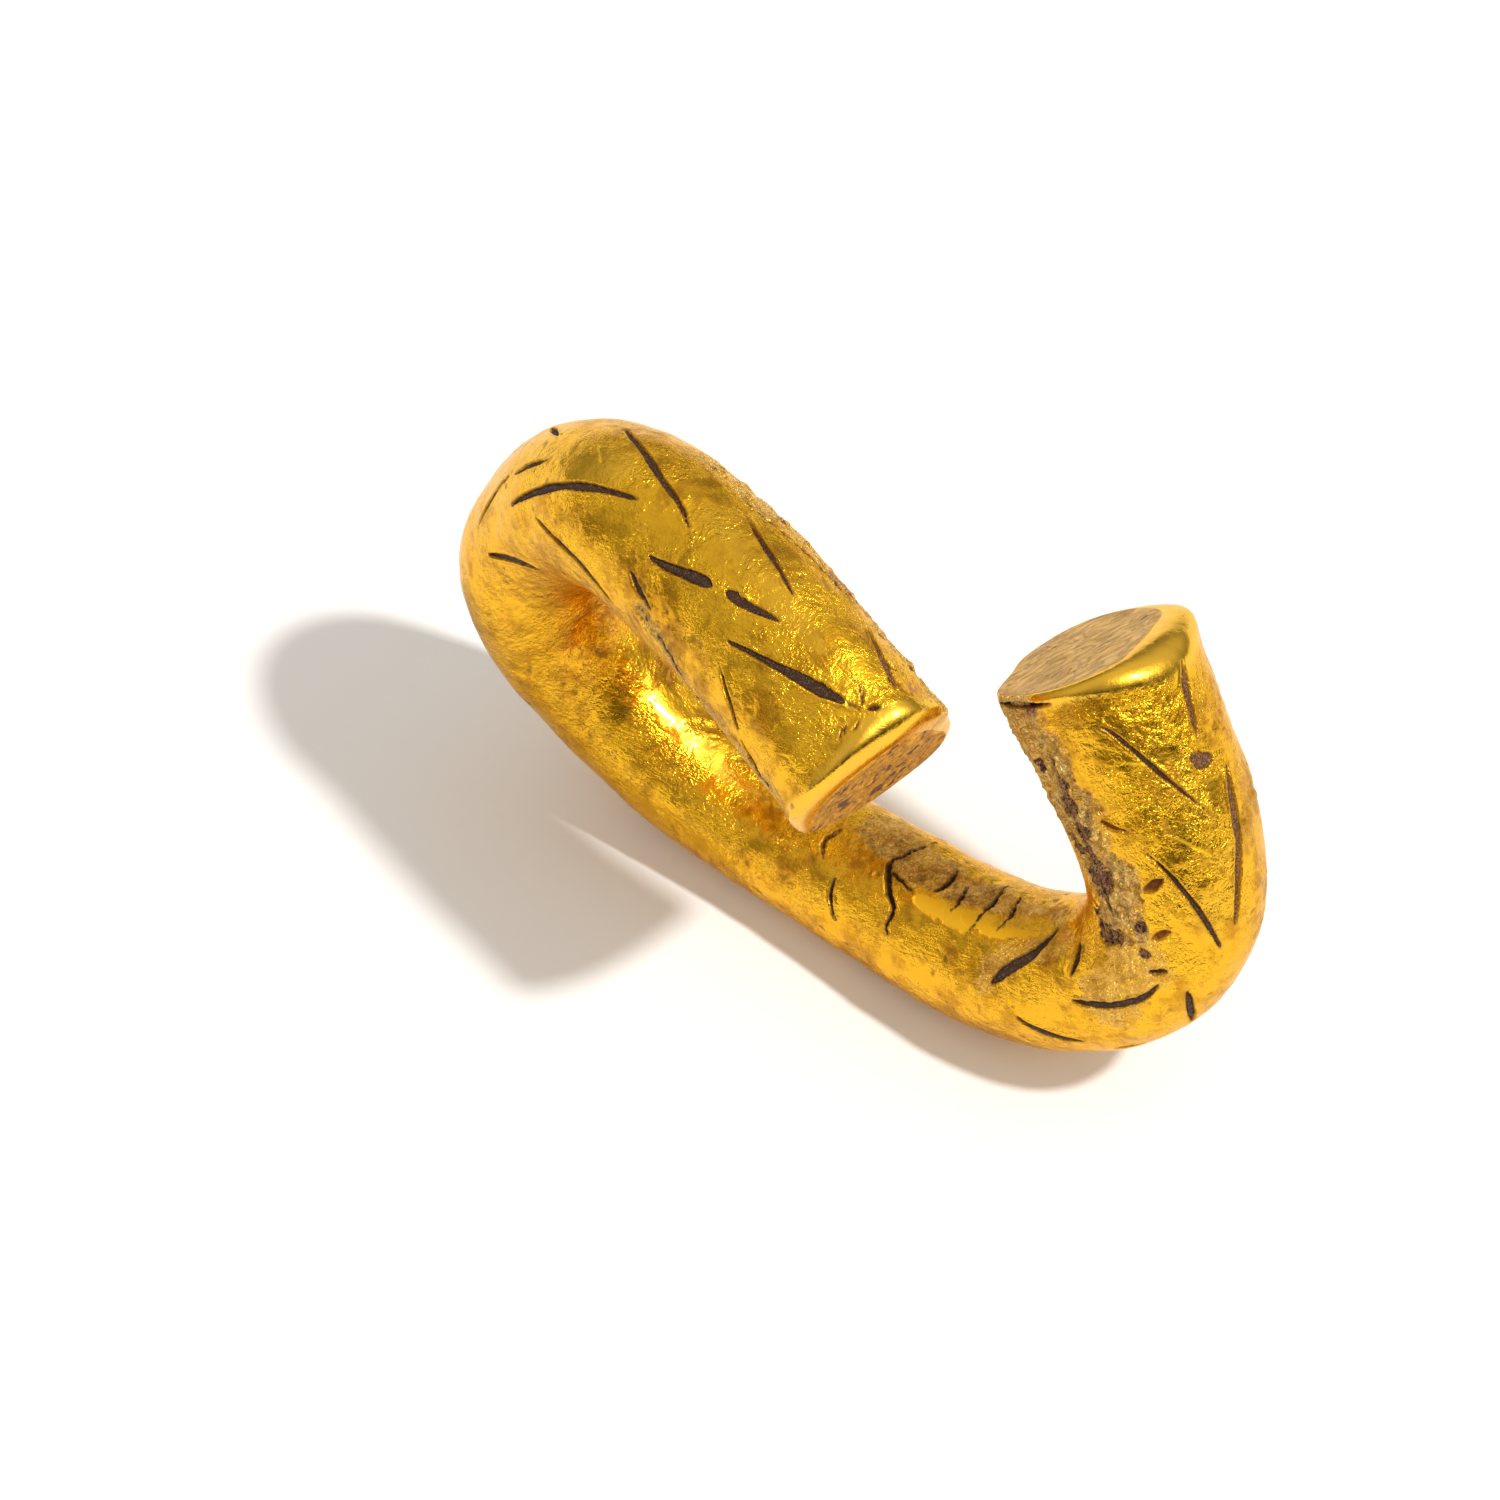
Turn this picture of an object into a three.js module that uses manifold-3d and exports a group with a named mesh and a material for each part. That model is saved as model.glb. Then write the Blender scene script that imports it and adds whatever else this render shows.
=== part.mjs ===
// Penannular hair ring in millimetres, Z up, standing on its back with the gap in the hoop at the top.
// A bent core bar carries a gold sleeve, a flat plate closes each end, and dark strips are inlaid in the sleeve.
import * as THREE from "three";
import Module from "manifold-3d";

const wasm = await Module();
wasm.setup();

// Driving sizes
const ring_width = 23.4;
const bar_radius = 2.9;
const sleeve_wall = 0.36;
const fit_gap = 0.05;
const plate_thickness = 0.6;
const rim_length = 0.55;
const rim_drop = 0.22;
const inlay_width = 0.34;
const inlay_recess = 0.08;
const rest_flat_depth = 0.1;

// Mesh fineness
const stations = 46;
const facets = 22;

// The bar's middle line from the left end to the right end, in shares of the ring's width
const spine_shares = [
  [0.015, -0.241, 0.579],
  [-0.053, -0.153, 0.617],
  [-0.122, -0.06, 0.635],
  [-0.192, 0.034, 0.632],
  [-0.271, 0.122, 0.628],
  [-0.335, 0.197, 0.564],
  [-0.378, 0.246, 0.466],
  [-0.4, 0.265, 0.353],
  [-0.371, 0.257, 0.241],
  [-0.303, 0.215, 0.156],
  [-0.22, 0.147, 0.107],
  [-0.128, 0.077, 0.088],
  [-0.034, 0.006, 0.09],
  [0.058, -0.068, 0.096],
  [0.15, -0.143, 0.107],
  [0.241, -0.207, 0.139],
  [0.331, -0.248, 0.203],
  [0.385, -0.239, 0.298],
  [0.376, -0.188, 0.402],
  [0.331, -0.124, 0.498],
  [0.282, -0.058, 0.593],
];

// The bar's radius at the same places, in shares of its radius at the ends
const radius_shares = [
  1, 0.93, 0.92, 0.914, 0.88, 0.828, 0.793, 0.81, 0.776, 0.724, 0.69,
  0.69, 0.724, 0.759, 0.776, 0.793, 0.81, 0.862, 0.931, 0.966, 1,
];

// The direction that looks straight through the hoop
const hoop_axis = new THREE.Vector3(0.53, 0.84, 0.1).normalize();

// Inlaid strips: width share, then places along the bar and turns round it in degrees, 0 outward and 180 inward
const inlay_shares = [
  ["inlay_left_01", 1, [[0.21, 31], [0.192, 14], [0.175, 2], [0.143, -7]]],
  ["inlay_left_02", 0.8, [[0.251, 315], [0.227, 324], [0.195, 337], [0.179, 344]]],
  ["inlay_left_03", 0.6, [[0.253, 337], [0.226, 347]]],
  ["inlay_left_04", 0.6, [[0.3, 318], [0.278, 328], [0.259, 337]]],
  ["inlay_left_05", 0.6, [[0.252, 21], [0.234, 7]]],
  ["inlay_left_06", 0.6, [[0.228, 307], [0.198, 287], [0.182, 276], [0.167, 269]]],
  ["inlay_left_07", 0.7, [[0.3, 295], [0.267, 271], [0.257, 263]]],
  ["inlay_left_08", 0.5, [[0.161, 305], [0.132, 297]]],
  ["inlay_left_09", 1, [[0.155, 322], [0.138, 326], [0.121, 333], [0.11, 337]]],
  ["inlay_left_10", 1, [[0.104, 340], [0.092, 343], [0.076, 351]]],
  ["inlay_left_11", 0.8, [[0.131, 26], [0.112, 19], [0.081, 7]]],
  ["inlay_left_12", 1, [[0.089, 317], [0.062, 330], [0.047, 338], [0.03, 347]]],
  ["inlay_left_13", 0.6, [[0.082, 303], [0.066, 290], [0.055, 279]]],
  ["inlay_left_14", 0.6, [[0.051, 274], [0.036, 266], [0.022, 260]]],
  ["inlay_left_15", 0.8, [[0.055, 37], [0.041, 27], [0.022, 15]]],
  ["inlay_right_01", 0.6, [[0.977, 308], [0.969, 315], [0.938, 333], [0.913, 349]]],
  ["inlay_right_02", 0.7, [[0.982, 11], [0.972, 7], [0.95, 0]]],
  ["inlay_right_03", 1.4, [[0.943, -10], [0.932, 3]]],
  ["inlay_right_04", 0.8, [[0.929, 15], [0.91, 5], [0.884, -7], [0.865, -15]]],
  ["inlay_right_05", 0.6, [[0.911, 301], [0.887, 315], [0.864, 328], [0.857, 333]]],
  ["inlay_right_06", 0.7, [[0.792, 246], [0.804, 258], [0.823, 279], [0.838, 289]]],
  ["inlay_right_07", 0.7, [[0.838, 309], [0.829, 318], [0.818, 333]]],
  ["inlay_back_01", 1.3, [[0.74, 233], [0.753, 219], [0.769, 207], [0.786, 190]]],
  ["inlay_back_02", 0.6, [[0.797, 231], [0.808, 224], [0.815, 215]]],
  ["inlay_back_03", 0.6, [[0.754, 257], [0.765, 270], [0.783, 284]]],
];

// The sleeve's seam shows as an open slit on the right arm, with a corroded strip in it
const seam_shares = [1.2, [[0.968, 268], [0.94, 264], [0.915, 262], [0.89, 261], [0.868, 261]]];

// Uniform Catmull-Rom curve through rows of numbers, with reflected end rows
function through(rows, place) {
  const last = rows.length - 1;
  const along = THREE.MathUtils.clamp(place, 0, 1) * last;
  const i = Math.min(Math.floor(along), last - 1);
  const w = along - i;
  const row = (k) =>
    k < 0
      ? rows[0].map((v, j) => 2 * v - rows[1][j])
      : k > last
        ? rows[last].map((v, j) => 2 * v - rows[last - 1][j])
        : rows[k];
  const [a, b, c, d] = [row(i - 1), row(i), row(i + 1), row(i + 2)];
  return b.map((start, j) => {
    const end = c[j];
    const m1 = (end - a[j]) / 2;
    const m2 = (d[j] - start) / 2;
    const cubic = 2 * start - 2 * end + m1 + m2;
    const square = 3 * end - 3 * start - 2 * m1 - m2;
    return ((cubic * w + square) * w + m1) * w + start;
  });
}

const spine_at = (place) => new THREE.Vector3(...through(spine_shares, place)).multiplyScalar(ring_width);
const radius_rows = radius_shares.map((share) => [share]);
const radius_at = (place) => through(radius_rows, place)[0] * bar_radius;

// The bar's length and its lowest point come from the same curve
const fine = 400;
let bar_length = 0;
let lowest = Infinity;
for (let i = 0; i <= fine; i++) {
  const here = spine_at(i / fine);
  if (i) bar_length += here.distanceTo(spine_at((i - 1) / fine));
  lowest = Math.min(lowest, here.z - radius_at(i / fine));
}
const floor_lift = -lowest - rest_flat_depth;

// Directions at a place: along the bar, outward in the hoop's plane, and out of the hoop's plane
function frame_at(place) {
  const step_share = 1e-4;
  const ahead = spine_at(Math.min(place + step_share, 1));
  const along = ahead.sub(spine_at(Math.max(place - step_share, 0))).normalize();
  const side = hoop_axis.clone().addScaledVector(along, -hoop_axis.dot(along)).normalize();
  const outward = new THREE.Vector3().crossVectors(side, along);
  return { along, side, outward };
}

// A point at a radius from the middle line, with its outward normal; past an end the bar runs on straight
function point_at(place, turn, radius) {
  const inside = THREE.MathUtils.clamp(place, 0, 1);
  const { along, side, outward } = frame_at(inside);
  const normal = outward.multiplyScalar(Math.cos(turn)).addScaledVector(side, Math.sin(turn));
  const point = spine_at(inside).addScaledVector(along, (place - inside) * bar_length);
  point.addScaledVector(normal, radius);
  point.z += floor_lift;
  return { point, normal };
}

function solid_from(vertices, triangles) {
  const mesh = new wasm.Mesh({
    numProp: 3,
    vertProperties: new Float32Array(vertices.flatMap((v) => v.toArray())),
    triVerts: new Uint32Array(triangles.flat()),
  });
  mesh.merge();
  return new wasm.Manifold(mesh);
}

// Places of the mesh's rings: close together on the rims, even between them
const rim_share = rim_length / bar_length;
const rim_places = [0, 0.1, 0.4, 1].map((step) => step * rim_share);
const grid = [...rim_places];
for (let i = 1; i < stations; i++) grid.push(rim_share + ((1 - 2 * rim_share) * i) / stations);
grid.push(...rim_places.toReversed().map((place) => 1 - place));

function rings_between(from, to) {
  const near_share = 1e-4;
  const inner = grid.filter((place) => place > from + near_share && place < to - near_share);
  return [from, ...inner, to];
}

// How much the rounded rim takes off the radius at a place
function rim_loss(place) {
  const short = Math.max(0, 1 - Math.min(place, 1 - place) / rim_share);
  return rim_drop * (1 - Math.sqrt(1 - Math.min(1, short) ** 2));
}

// A closed bar between two places, whose radius is the ring's less an inset
function bar_between(from, to, inset, rounded) {
  const places = rings_between(from, to);
  const vertices = [];
  for (const place of places) {
    const radius = radius_at(place) - inset - (rounded ? rim_loss(place) : 0);
    for (let j = 0; j < facets; j++) {
      vertices.push(point_at(place, (2 * Math.PI * j) / facets, radius).point);
    }
  }
  return closed_tube(vertices, places.length);
}

// Joins rings of vertices into one closed tube with a fan over each end
function closed_tube(vertices, rings) {
  const triangles = [];
  const last = (rings - 1) * facets;
  for (let i = 0; i < rings - 1; i++) {
    for (let j = 0; j < facets; j++) {
      const k = (j + 1) % facets;
      const a = i * facets + j;
      const b = i * facets + k;
      triangles.push([a, b, a + facets], [b, b + facets, a + facets]);
    }
  }
  const middle = (start) => {
    const sum = new THREE.Vector3();
    for (let j = 0; j < facets; j++) sum.add(vertices[start + j]);
    return sum.divideScalar(facets);
  };
  vertices.push(middle(0), middle(last));
  const [first_hub, last_hub] = [vertices.length - 2, vertices.length - 1];
  for (let j = 0; j < facets; j++) {
    const k = (j + 1) % facets;
    triangles.push([first_hub, k, j], [last_hub, last + j, last + k]);
  }
  return solid_from(vertices, triangles);
}

// A strip that follows the bar's surface along a path, between two depths, tapered towards both ends
function strip_on(path, width, top, bottom, extra) {
  const spots = path.map(([place, degrees]) => [place, THREE.MathUtils.degToRad(degrees)]);
  const steps = 2 * (spots.length - 1);
  const vertices = [];
  const surface = (t) => {
    const [place, turn] = through(spots, t);
    return { place, turn, ...point_at(place, turn, radius_at(place)) };
  };
  for (let i = 0; i <= steps; i++) {
    const t = i / steps;
    const { place, turn, point, normal } = surface(t);
    const step_share = 0.02;
    const before = surface(Math.max(0, t - step_share)).point;
    const run = surface(Math.min(1, t + step_share)).point.sub(before).normalize();
    const across = new THREE.Vector3().crossVectors(normal, run).normalize();
    const taper = 0.45 + 0.55 * Math.sin(Math.PI * Math.min(1, Math.max(0, t)) * 0.9 + 0.157);
    const half = (width * taper) / 2 + extra;
    const end_push = i === 0 ? -extra : i === steps ? extra : 0;
    for (const [side, depth] of [[-1, top], [1, top], [1, bottom], [-1, bottom]]) {
      const corner = point_at(place, turn, radius_at(place) - depth).point;
      vertices.push(corner.addScaledVector(across, side * half).addScaledVector(run, end_push));
    }
  }
  const triangles = [[0, 1, 2], [0, 2, 3]];
  for (let i = 0; i < steps; i++) {
    for (let j = 0; j < 4; j++) {
      const a = 4 * i + j;
      const b = 4 * i + ((j + 1) % 4);
      triangles.push([a, a + 4, b], [b, a + 4, b + 4]);
    }
  }
  const end = 4 * steps;
  triangles.push([end, end + 2, end + 1], [end, end + 3, end + 2]);
  return solid_from(vertices, triangles);
}

function geometry_of(solid) {
  const mesh = solid.getMesh();
  const positions = new Float32Array(mesh.numVert * 3);
  for (let i = 0; i < mesh.numVert; i++) {
    positions.set(mesh.vertProperties.subarray(i * mesh.numProp, i * mesh.numProp + 3), i * 3);
  }
  const geometry = new THREE.BufferGeometry();
  geometry.setAttribute("position", new THREE.BufferAttribute(positions, 3));
  geometry.setIndex(new THREE.BufferAttribute(mesh.triVerts, 1));
  geometry.computeVertexNormals();
  return geometry;
}

const ring = new THREE.Group();
ring.name = "hair_ring";

function add(name, solid, color, roughness, metalness) {
  const material = new THREE.MeshStandardMaterial({ color, roughness, metalness });
  material.name = name;
  const mesh = new THREE.Mesh(geometry_of(solid.translate(centring)), material);
  mesh.name = name;
  ring.add(mesh);
}

// Everything below the floor plane is taken off, which leaves the small flat the ring rests on
const floor_cut = (solid) => solid.trimByPlane([0, 0, 1], 0);

const whole = bar_between(0, 1, 0, true);
const { min, max } = whole.boundingBox();
const centring = [-(min[0] + max[0]) / 2, -(min[1] + max[1]) / 2, 0];
const plate_share = plate_thickness / bar_length;
const bore = bar_between(-plate_share, 1 + plate_share, sleeve_wall, false);
const gap_share = fit_gap / bar_length;

const strips = inlay_shares.map(([name, share, path]) => ({ name, share, path }));
strips.push({ name: "seam_strip", share: seam_shares[0], path: seam_shares[1] });
const slots = strips.map(({ share, path }) =>
  strip_on(path, inlay_width * share, -sleeve_wall, 2 * sleeve_wall, fit_gap),
);
const sleeve = floor_cut(whole.subtract(bore).subtract(wasm.Manifold.union(slots)));
add("gold_sleeve", sleeve, 0xd9a11e, 0.3, 1);

const core_from = plate_share + gap_share;
const core = bar_between(core_from, 1 - core_from, sleeve_wall + fit_gap, false);
add("core_bar", core, 0x5d4632, 0.8, 0.2);

const plate_inset = sleeve_wall + fit_gap;
add("end_plate_left", bar_between(0, plate_share, plate_inset, false), 0xa9834a, 0.6, 0.8);
add("end_plate_right", bar_between(1 - plate_share, 1, plate_inset, false), 0xa9834a, 0.6, 0.8);

for (const { name, share, path } of strips) {
  const strip = strip_on(path, inlay_width * share, inlay_recess, sleeve_wall, 0);
  add(name, strip, name === "seam_strip" ? 0x4a2f2a : 0x3a3026, 0.9, 0.1);
}

export default ring;
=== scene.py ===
"""Dresses a gold penannular hair ring: a burnished gold skin over a core bar, dark inlaid strips, matt end plates
and a corroded seam, on a plain pale floor. All lengths are in metres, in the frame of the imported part."""
import itertools
import math

import bpy
import numpy as np
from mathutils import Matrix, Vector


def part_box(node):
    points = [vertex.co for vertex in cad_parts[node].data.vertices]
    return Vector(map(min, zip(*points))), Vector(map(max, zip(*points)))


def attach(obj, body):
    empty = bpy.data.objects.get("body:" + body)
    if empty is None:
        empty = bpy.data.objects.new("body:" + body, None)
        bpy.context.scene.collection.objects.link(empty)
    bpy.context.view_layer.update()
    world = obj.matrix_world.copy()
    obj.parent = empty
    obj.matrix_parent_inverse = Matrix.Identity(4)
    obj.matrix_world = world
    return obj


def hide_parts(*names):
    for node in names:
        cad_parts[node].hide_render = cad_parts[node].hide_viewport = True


bl_info = {
    "name": "Hair Ring",
    "version": (1, 0, 0),
    "blender": (4, 5, 0),
    "location": "View3D > Sidebar > Hair Ring",
    "description": "Builds a gold penannular hair ring with inlaid strips, and a plain studio round it",
    "category": "Object",
}

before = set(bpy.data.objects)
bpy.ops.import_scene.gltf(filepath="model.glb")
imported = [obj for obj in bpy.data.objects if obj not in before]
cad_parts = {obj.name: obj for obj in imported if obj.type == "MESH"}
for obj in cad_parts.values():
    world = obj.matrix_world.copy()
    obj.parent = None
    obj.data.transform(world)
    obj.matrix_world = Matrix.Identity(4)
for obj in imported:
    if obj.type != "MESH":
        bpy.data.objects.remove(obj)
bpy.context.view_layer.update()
SLEEVE_BOX = np.array([[float(v) for v in corner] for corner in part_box("gold_sleeve")])
MM = 0.001

# The bar's middle line from the left end to the right end, in shares of the ring's width
SPINE_SHARES = np.array([
    [0.015, -0.241, 0.579], [-0.053, -0.153, 0.617], [-0.122, -0.06, 0.635], [-0.192, 0.034, 0.632],
    [-0.271, 0.122, 0.628], [-0.335, 0.197, 0.564], [-0.378, 0.246, 0.466], [-0.4, 0.265, 0.353],
    [-0.371, 0.257, 0.241], [-0.303, 0.215, 0.156], [-0.22, 0.147, 0.107], [-0.128, 0.077, 0.088],
    [-0.034, 0.006, 0.09], [0.058, -0.068, 0.096], [0.15, -0.143, 0.107], [0.241, -0.207, 0.139],
    [0.331, -0.248, 0.203], [0.385, -0.239, 0.298], [0.376, -0.188, 0.402], [0.331, -0.124, 0.498],
    [0.282, -0.058, 0.593],
])

# The bar's radius at the same places, in shares of its radius at the ends
RADIUS_SHARES = np.array([
    1, 0.93, 0.92, 0.914, 0.88, 0.828, 0.793, 0.81, 0.776, 0.724, 0.69,
    0.69, 0.724, 0.759, 0.776, 0.793, 0.81, 0.862, 0.931, 0.966, 1,
])[:, None]

HOOP_AXIS = np.array([0.53, 0.84, 0.1]) / np.linalg.norm([0.53, 0.84, 0.1])

# Soft swells and dents of the bar: place, turn in degrees, reach along and across in mm, height in mm
SWELLS = [
    (0.03, 12, 4.5, 0.7, 0.16),
    (0.02, 72, 2.5, 0.8, -0.2),
    (0.0, 120, 2.2, 1.0, 0.24),
    (0.0, 245, 2.0, 1.0, -0.16),
    (0.03, 325, 3.5, 1.2, -0.12),
    (1.0, 142, 2.2, 1.2, 0.2),
    (1.0, 68, 1.5, 0.9, 0.22),
    (1.0, 208, 2.0, 0.8, -0.2),
    (0.99, 240, 1.6, 0.7, 0.2),
    (0.555, 187, 3.0, 1.3, -0.3),
    (0.475, 187, 2.5, 1.2, 0.18),
    (0.725, 196, 2.6, 1.1, 0.22),
]

# Rounded rims at twelve even turns from 0 degrees on: how far they take the face's edge inwards and how far they run
# back along the bar, in mm, and how square the bend is, from 2 for round
RIM_LEFT = [
    (0.97, 0.88, 2.1), (0.9, 0.5, 2.4), (0.7, 0.34, 2.6), (0.32, 0.26, 2.2), (0.12, 0.25, 2.0), (0.1, 0.25, 2.0),
    (0.1, 0.25, 2.0), (0.14, 0.25, 2.0), (0.42, 0.32, 2.0), (0.8, 0.36, 2.0), (0.95, 0.4, 2.0), (0.98, 0.58, 2.0),
]
RIM_RIGHT = [
    (1.05, 0.9, 2.2), (1.12, 0.8, 2.4), (0.95, 0.6, 2.8), (0.42, 0.3, 3.0), (0.16, 0.25, 2.5), (0.1, 0.2, 2.0),
    (0.1, 0.2, 2.0), (0.1, 0.2, 2.0), (0.1, 0.2, 2.0), (0.2, 0.2, 2.0), (0.38, 0.3, 2.0), (0.55, 0.6, 2.0),
]

# Inlaid strips: name, width share, tapering share of the start and of the end, then places and turns in degrees
STRIPS = [
    ("inlay_left_01", 1.1, 0.4, 0.8, [[0.21, 31], [0.192, 14], [0.175, 2], [0.143, -7]]),
    ("inlay_left_02", 1.3, 0.6, 0.6, [[0.251, 315], [0.227, 324], [0.195, 337], [0.179, 344]]),
    ("inlay_left_03", 0.7, 0.5, 0.6, [[0.253, 337], [0.226, 347]]),
    ("inlay_left_04", 0.7, 0.5, 0.5, [[0.3, 318], [0.278, 328], [0.259, 337]]),
    ("inlay_left_05", 0.8, 0.5, 0.5, [[0.252, 21], [0.234, 7]]),
    ("inlay_left_06", 0.85, 0.5, 0.6, [[0.228, 307], [0.198, 287], [0.182, 276], [0.167, 269]]),
    ("inlay_left_07", 1.5, 0.4, 0.8, [[0.3, 295], [0.267, 271], [0.257, 263]]),
    ("inlay_left_08", 0.85, 0.5, 0.5, [[0.161, 305], [0.132, 297]]),
    ("inlay_left_09", 1.3, 0.75, 0.1, [[0.155, 322], [0.138, 326], [0.121, 333], [0.11, 337]]),
    ("inlay_left_10", 1.3, 0.12, 0.75, [[0.104, 340], [0.092, 343], [0.076, 351]]),
    ("inlay_left_11", 0.8, 0.6, 0.6, [[0.131, 26], [0.112, 19], [0.081, 7]]),
    ("inlay_left_12", 1.4, 0.75, 0.2, [[0.089, 317], [0.062, 330], [0.047, 338], [0.03, 347]]),
    ("inlay_left_13", 0.6, 0.6, 0.6, [[0.082, 303], [0.066, 290], [0.055, 279]]),
    ("inlay_left_14", 0.6, 0.5, 0.6, [[0.051, 274], [0.036, 266], [0.022, 260]]),
    ("inlay_left_15", 0.9, 0.6, 0.4, [[0.055, 37], [0.041, 27], [0.022, 15]]),
    ("inlay_right_01", 0.55, 0.6, 0.6, [[0.977, 308], [0.969, 315], [0.938, 333], [0.913, 349]]),
    ("inlay_right_02", 1.15, 0.5, 0.5, [[0.987, 12], [0.974, 7], [0.95, 0]]),
    ("inlay_right_03", 2.1, 0.3, 0.35, [[0.943, -9], [0.938, -1], [0.936, 7]]),
    ("inlay_right_04", 1.6, 0.6, 0.6, [[0.929, 15], [0.91, 5], [0.884, -7], [0.865, -15]]),
    ("inlay_right_05", 0.65, 0.6, 0.6, [[0.911, 301], [0.887, 315], [0.864, 328], [0.857, 333]]),
    ("inlay_right_06", 1.0, 0.4, 0.5, [[0.792, 246], [0.804, 258], [0.823, 279], [0.838, 289]]),
    ("inlay_right_07", 0.9, 0.5, 0.3, [[0.838, 309], [0.829, 318], [0.818, 333]]),
    ("inlay_back_01", 1.7, 0.4, 0.8, [[0.74, 233], [0.753, 219], [0.769, 207], [0.786, 190]]),
    ("inlay_back_02", 0.8, 0.5, 0.5, [[0.797, 231], [0.808, 224], [0.815, 215]]),
    ("inlay_back_03", 0.8, 0.5, 0.5, [[0.754, 257], [0.765, 270], [0.783, 284]]),
]
SEAM = ("seam_strip", 0.9, 0.3, 0.3, [[0.968, 268], [0.94, 264], [0.915, 262], [0.89, 261], [0.868, 261]])

# Fine cracks and nicks in the skin: width in mm, depth in mm, share of rust in them, then places and turns in degrees
CRACKS = [
    (0.2, 0.14, 0.0, [
        [0.657, 138], [0.654, 163], [0.65, 181], [0.651, 189], [0.659, 205], [0.666, 214], [0.666, 228], [0.669, 234],
    ]),
    (0.13, 0.1, 0.0, [[0.651, 189], [0.66, 192], [0.672, 196]]),
    (0.13, 0.1, 0.0, [[0.626, 216], [0.627, 231], [0.634, 250]]),
    (0.17, 0.12, 0.2, [[0.681, 157], [0.684, 177], [0.681, 187]]),
    (0.15, 0.12, 0.0, [[0.717, 149], [0.721, 175], [0.72, 201]]),
    (0.12, 0.1, 0.2, [[0.697, 168], [0.702, 184], [0.7, 197]]),
    (0.12, 0.09, 0.0, [[0.735, 160], [0.741, 180], [0.738, 196]]),
    (0.11, 0.08, 0.3, [[0.612, 178], [0.608, 196], [0.614, 210]]),
    (0.24, 0.14, 0.6, [[0.841, 280], [0.846, 294]]),
    (0.3, 0.14, 0.5, [[0.888, 291], [0.894, 306]]),
    (0.2, 0.12, 0.8, [[0.861, 286], [0.867, 301]]),
    (0.18, 0.1, 0.9, [[0.931, 283], [0.927, 288], [0.921, 298]]),
    (0.26, 0.12, 0.0, [[0.79, 304], [0.799, 318]]),
    (0.24, 0.24, 1.0, [[0.9962, 243], [0.9955, 256], [0.9952, 270], [0.9945, 286]]),
    (0.1, 0.1, 0.1, [[0.031, -13], [0.0245, -9], [0.022, -6]]),
    (0.24, 0.14, 0.2, [[0.0225, -5], [0.0205, -2], [0.0185, 2]]),
    (0.08, 0.08, 0.2, [[0.024, -7], [0.027, -3], [0.033, 0]]),
    (0.1, 0.07, 0.3, [[0.021, -20], [0.0195, -24], [0.0165, -30]]),
    (0.08, 0.07, 0.2, [[0.0195, -12], [0.0175, -16], [0.016, -20]]),
    (0.14, 0.1, 0.9, [[0.029, 16], [0.024, 20], [0.017, 20]]),
    (0.12, 0.1, 0.4, [[0.036, 26], [0.033, 27], [0.031, 29]]),
    (0.08, 0.06, 0.4, [[0.16, 34], [0.143, 37], [0.125, 38], [0.107, 42], [0.09, 45], [0.07, 46]]),
    (0.07, 0.05, 0.1, [[0.141, 290], [0.12, 282], [0.1, 262], [0.085, 256]]),
]

# Clean bright gold where the skin was scraped: half width in mm, then places and turns
SCRAPED = [
    (0.27, [[0.677, 197], [0.692, 196], [0.713, 195]]),
    (0.38, [[0.714, 191], [0.74, 190], [0.769, 187]]),
    (0.04, [[0.9575, 308], [0.95, 326]]),
    (0.035, [[0.912, 322], [0.899, 338]]),
    (0.035, [[0.208, 6], [0.2, -6]]),
]

# Smooth polished stretches, with a paler painted sheen: half width in mm, strength, then places and turns
POLISHED = [
    (0.55, 0.85, [[0.46, 189], [0.49, 188], [0.52, 187], [0.56, 187]]),
    (1.7, 0.55, [[0.29, 330], [0.255, 345], [0.22, 352], [0.185, 356]]),
    (0.6, 0.4, [[0.15, 8], [0.12, 4], [0.08, 0], [0.05, -2]]),
    (1.6, 0.3, [[0.965, 335], [0.93, 340], [0.89, 335], [0.86, 325]]),
]

# Rough worn bands along the bar: half width in mm, strength, then places and turns
ROUGH_BANDS = [
    (1.25, 1.0, [[0.992, 250], [0.95, 258], [0.9, 263], [0.868, 265]]),
    (1.15, 0.45, [[0.87, 265], [0.84, 266], [0.812, 264]]),
    (0.8, 0.8, [[0.175, 50], [0.143, 53], [0.107, 58], [0.056, 62], [0.012, 56]]),
    (0.4, 0.7, [[0.14, 289], [0.121, 281], [0.097, 262], [0.05, 262], [0.019, 262]]),
    (0.75, 0.55, [[0.63, 152], [0.66, 166], [0.7, 170], [0.74, 172], [0.775, 182]]),
    (0.6, 0.35, [[0.74, 226], [0.765, 205], [0.79, 200]]),
]

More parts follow.
